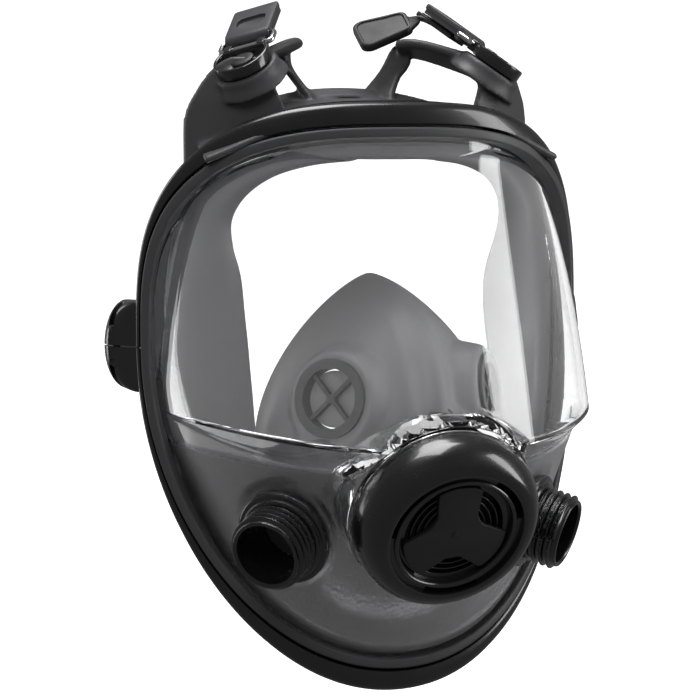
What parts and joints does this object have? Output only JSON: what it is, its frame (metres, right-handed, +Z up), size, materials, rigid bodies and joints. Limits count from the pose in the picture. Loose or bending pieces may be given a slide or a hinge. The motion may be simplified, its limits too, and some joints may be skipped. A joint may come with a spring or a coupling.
{
  "type": "full face respirator",
  "caption": "Full face breathing mask with a wide clear visor, rubber face seal, inner nose cup, two threaded filter connectors, an exhalation valve and harness buckles.",
  "frame": {"origin": "centre of the face opening, on the mask's plane of symmetry, where the wearer's face comes in", "axes": "+Z up towards the forehead, -Y out of the front of the mask, +X towards the wearer's left side"},
  "size_m": [0.198, 0.1653, 0.2582],
  "materials": {
    "clear_lens": "clear polycarbonate, frosted below the ledge",
    "seal_rubber": "satin dark grey moulded elastomer",
    "cup_rubber": "satin mid grey moulded elastomer",
    "frame_black": "glossy black moulded plastic",
    "valve_black": "glossy black moulded plastic",
    "dull_black": "matt black moulded plastic",
    "flap_silicone": "thin satin silicone",
    "gasket_black": "matt black rubber",
    "lever_grey": "satin dark grey plastic",
    "strap_rubber": "satin black elastomer",
    "wire_chrome": "bright plated wire",
    "steel": "bright steel"
  },
  "bodies": {
    "mask": {"lens": "clear_lens", "face_seal": "seal_rubber", "frame_upper": "frame_black", "frame_lower": "frame_black", "frame_screws": "steel", "frame_nuts": "steel", "nose_cup": "cup_rubber", "valve_body": "dull_black", "valve_gasket": "gasket_black", "valve_nut": "dull_black", "nose_cup_seat_left": "dull_black", "connector_left": "valve_black", "connector_gasket_left": "gasket_black", "connector_nut_left": "dull_black", "nose_cup_seat_right": "dull_black", "connector_right": "valve_black", "connector_gasket_right": "gasket_black", "connector_nut_right": "dull_black", "buckle_stud_upper_left": "dull_black", "buckle_stud_upper_right": "dull_black", "buckle_stud_lower_left": "dull_black", "buckle_stud_lower_right": "dull_black"},
    "exhalation_flap": {"exhalation_flap": "flap_silicone"},
    "valve_cap": {"valve_cap": "valve_black", "cap_plate": "dull_black"},
    "nose_cup_flap_left": {"nose_cup_flap_left": "flap_silicone"},
    "inhalation_flap_left": {"inhalation_flap_left": "flap_silicone"},
    "nose_cup_flap_right": {"nose_cup_flap_right": "flap_silicone"},
    "inhalation_flap_right": {"inhalation_flap_right": "flap_silicone"},
    "base_upper_left": {"buckle_base_upper_left": "valve_black"},
    "loop_upper_left": {"buckle_loop_upper_left": "wire_chrome", "strap_upper_left": "strap_rubber"},
    "lever_upper_left": {"buckle_lever_upper_left": "lever_grey", "buckle_pin_upper_left": "wire_chrome"},
    "base_upper_right": {"buckle_base_upper_right": "valve_black"},
    "loop_upper_right": {"buckle_loop_upper_right": "wire_chrome", "strap_upper_right": "strap_rubber"},
    "lever_upper_right": {"buckle_lever_upper_right": "lever_grey", "buckle_pin_upper_right": "wire_chrome"},
    "base_lower_left": {"buckle_base_lower_left": "valve_black"},
    "loop_lower_left": {"buckle_loop_lower_left": "wire_chrome"},
    "lever_lower_left": {"buckle_lever_lower_left": "lever_grey", "buckle_pin_lower_left": "wire_chrome"},
    "base_lower_right": {"buckle_base_lower_right": "valve_black"},
    "loop_lower_right": {"buckle_loop_lower_right": "wire_chrome"},
    "lever_lower_right": {"buckle_lever_lower_right": "lever_grey", "buckle_pin_lower_right": "wire_chrome"}
  },
  "joints": [
    {"name": "nose_cup_flap_left_lift", "type": "slide", "parent": "mask", "child": "nose_cup_flap_left", "axis": [0.7803, 0.6097, -0.1392], "range_m": [0, 0.001], "stiffness_N_per_m": 60, "springref_m": -0.0003},
    {"name": "inhalation_flap_left_lift", "type": "slide", "parent": "mask", "child": "inhalation_flap_left", "axis": [0.703, 0.6556, 0.2756], "range_m": [0, 0.0012], "stiffness_N_per_m": 60, "springref_m": -0.0003},
    {"name": "nose_cup_flap_right_lift", "type": "slide", "parent": "mask", "child": "nose_cup_flap_right", "axis": [-0.7803, 0.6097, -0.1392], "range_m": [0, 0.001], "stiffness_N_per_m": 60, "springref_m": -0.0003},
    {"name": "inhalation_flap_right_lift", "type": "slide", "parent": "mask", "child": "inhalation_flap_right", "axis": [-0.703, 0.6556, 0.2756], "range_m": [0, 0.0012], "stiffness_N_per_m": 60, "springref_m": -0.0003},
    {"name": "exhalation_flap_lift", "type": "slide", "parent": "mask", "child": "exhalation_flap", "axis": [0, -0.8988, -0.4384], "range_m": [0, 0.0015], "stiffness_N_per_m": 80, "springref_m": -0.0005},
    {"name": "valve_cap_pull", "type": "slide", "parent": "mask", "child": "valve_cap", "axis": [0, -0.8988, -0.4384], "range_m": [0, 0.03]},
    {"name": "swivel_upper_left", "type": "hinge", "parent": "mask", "child": "base_upper_left", "pos_m": [-0.05, -0.056, 0.108], "axis": [-0.5012, -0.2706, 0.8219], "range_deg": [-5, 25]},
    {"name": "loop_upper_left", "type": "hinge", "parent": "base_upper_left", "child": "loop_upper_left", "pos_m": [-0.04824, -0.05111, 0.11507], "axis": [0.7414, -0.6241, 0.2466], "range_deg": [0, 40]},
    {"name": "lever_upper_left", "type": "hinge", "parent": "loop_upper_left", "child": "lever_upper_left", "pos_m": [-0.04511, -0.04598, 0.11866], "axis": [0.7414, -0.6241, 0.2466], "range_deg": [0, 70]},
    {"name": "swivel_upper_right", "type": "hinge", "parent": "mask", "child": "base_upper_right", "pos_m": [0.05, -0.056, 0.108], "axis": [0.5012, -0.2706, 0.8219], "range_deg": [-25, 5]},
    {"name": "loop_upper_right", "type": "hinge", "parent": "base_upper_right", "child": "loop_upper_right", "pos_m": [0.04824, -0.05111, 0.11507], "axis": [0.7414, 0.6241, -0.2466], "range_deg": [0, 40]},
    {"name": "lever_upper_right", "type": "hinge", "parent": "loop_upper_right", "child": "lever_upper_right", "pos_m": [0.04511, -0.04598, 0.11866], "axis": [0.7414, 0.6241, -0.2466], "range_deg": [0, 70]},
    {"name": "swivel_lower_left", "type": "hinge", "parent": "mask", "child": "base_lower_left", "pos_m": [-0.056, -0.022, -0.066], "axis": [-0.9126, 0.2028, -0.3549], "range_deg": [-25, 25]},
    {"name": "loop_lower_left", "type": "hinge", "parent": "base_lower_left", "child": "loop_lower_left", "pos_m": [-0.05765, -0.01344, -0.06702], "axis": [-0.3536, 0.0439, 0.9344], "range_deg": [0, 40]},
    {"name": "lever_lower_left", "type": "hinge", "parent": "loop_lower_left", "child": "lever_lower_left", "pos_m": [-0.05621, -0.0066, -0.0668], "axis": [-0.3536, 0.0439, 0.9344], "range_deg": [0, 70]},
    {"name": "swivel_lower_right", "type": "hinge", "parent": "mask", "child": "base_lower_right", "pos_m": [0.056, -0.022, -0.066], "axis": [0.9126, 0.2028, -0.3549], "range_deg": [-25, 25]},
    {"name": "loop_lower_right", "type": "hinge", "parent": "base_lower_right", "child": "loop_lower_right", "pos_m": [0.05765, -0.01344, -0.06702], "axis": [-0.3536, -0.0439, -0.9344], "range_deg": [0, 40]},
    {"name": "lever_lower_right", "type": "hinge", "parent": "loop_lower_right", "child": "lever_lower_right", "pos_m": [0.05621, -0.0066, -0.0668], "axis": [-0.3536, -0.0439, -0.9344], "range_deg": [0, 70]}
  ]
}
